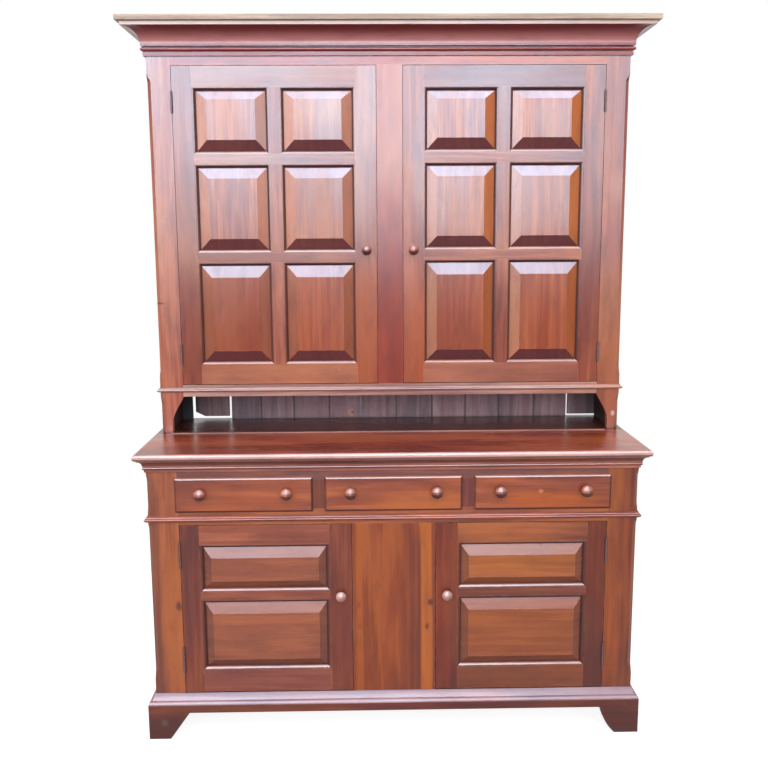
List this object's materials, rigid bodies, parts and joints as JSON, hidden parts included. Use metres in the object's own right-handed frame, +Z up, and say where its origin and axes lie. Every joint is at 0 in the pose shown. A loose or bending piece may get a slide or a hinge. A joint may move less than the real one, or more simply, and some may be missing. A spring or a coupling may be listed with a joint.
{
  "type": "step back cupboard",
  "caption": "Two-part step back cupboard with blind panelled doors above, an open gallery, and lipped drawers over panelled doors on bracket feet.",
  "frame": {"origin": "on the floor under the middle of the cupboard, drawer knobs included", "axes": "+X to the right of someone facing the front, +Y to the back, +Z up"},
  "size_m": [1.624, 0.562, 2.1645],
  "materials": {
    "varnished_wood": "glossy reddish brown varnish, worn at the edges",
    "turned_wood": "turned and varnished",
    "plain_wood": "plain inner boards, thin old stain",
    "bare_wood": "unfinished edge",
    "hinge_iron": "dark, aged"
  },
  "bodies": {
    "case": {"base_boards": "varnished_wood", "base_moulding": "varnished_wood", "case_hinge_leaves": "hinge_iron", "centre_board": "varnished_wood", "crown_moulding": "varnished_wood", "drawer_dividers": "varnished_wood", "drawer_rail": "varnished_wood", "drawer_runners": "plain_wood", "foot_blocks": "plain_wood", "locating_strip": "bare_wood", "lower_backboards": "plain_wood", "lower_bottom_rail": "varnished_wood", "lower_shelves": "plain_wood", "lower_sides": "varnished_wood", "lower_stile_left": "varnished_wood", "lower_stile_right": "varnished_wood", "lower_top": "varnished_wood", "lower_top_rail": "varnished_wood", "mid_bead": "varnished_wood", "top_moulding": "varnished_wood", "upper_backboards": "plain_wood", "upper_bottom_rail": "varnished_wood", "upper_centre_stile": "varnished_wood", "upper_floor_board": "plain_wood", "upper_shelves": "plain_wood", "upper_sides": "varnished_wood", "upper_stile_left": "varnished_wood", "upper_stile_right": "varnished_wood", "upper_top_board": "bare_wood", "upper_top_rail": "varnished_wood", "waist_bead": "varnished_wood"},
    "upper_left_door": {"upper_left_door_hinge_leaves": "hinge_iron", "upper_left_door_knob": "turned_wood", "upper_left_door_panels": "varnished_wood", "upper_left_door_rails": "varnished_wood", "upper_left_door_stiles": "varnished_wood"},
    "upper_right_door": {"upper_right_door_hinge_leaves": "hinge_iron", "upper_right_door_knob": "turned_wood", "upper_right_door_panels": "varnished_wood", "upper_right_door_rails": "varnished_wood", "upper_right_door_stiles": "varnished_wood"},
    "lower_left_door": {"lower_left_door_hinge_leaves": "hinge_iron", "lower_left_door_knob": "turned_wood", "lower_left_door_panels": "varnished_wood", "lower_left_door_rails": "varnished_wood", "lower_left_door_stiles": "varnished_wood"},
    "lower_right_door": {"lower_right_door_hinge_leaves": "hinge_iron", "lower_right_door_knob": "turned_wood", "lower_right_door_panels": "varnished_wood", "lower_right_door_rails": "varnished_wood", "lower_right_door_stiles": "varnished_wood"},
    "left_drawer": {"left_drawer_box": "plain_wood", "left_drawer_front": "varnished_wood", "left_drawer_knobs": "turned_wood"},
    "middle_drawer": {"middle_drawer_box": "plain_wood", "middle_drawer_front": "varnished_wood", "middle_drawer_knobs": "turned_wood"},
    "right_drawer": {"right_drawer_box": "plain_wood", "right_drawer_front": "varnished_wood", "right_drawer_knobs": "turned_wood"}
  },
  "joints": [
    {"name": "upper_left_door_swing", "type": "hinge", "parent": "case", "child": "upper_left_door", "pos_m": [-0.66625, 0.0374, 1.5405], "axis": [0, 0, -1], "range_deg": [0, 170]},
    {"name": "upper_right_door_swing", "type": "hinge", "parent": "case", "child": "upper_right_door", "pos_m": [0.66625, 0.0374, 1.5405], "axis": [0, 0, 1], "range_deg": [0, 170]},
    {"name": "lower_left_door_swing", "type": "hinge", "parent": "case", "child": "lower_left_door", "pos_m": [-0.63825, -0.2466, 0.406], "axis": [0, 0, -1], "range_deg": [0, 170]},
    {"name": "lower_right_door_swing", "type": "hinge", "parent": "case", "child": "lower_right_door", "pos_m": [0.63825, -0.2466, 0.406], "axis": [0, 0, 1], "range_deg": [0, 170]},
    {"name": "left_drawer_slide", "type": "slide", "parent": "case", "child": "left_drawer", "axis": [0, -1, 0], "range_m": [0, 0.34]},
    {"name": "middle_drawer_slide", "type": "slide", "parent": "case", "child": "middle_drawer", "axis": [0, -1, 0], "range_m": [0, 0.34]},
    {"name": "right_drawer_slide", "type": "slide", "parent": "case", "child": "right_drawer", "axis": [0, -1, 0], "range_m": [0, 0.34]}
  ]
}
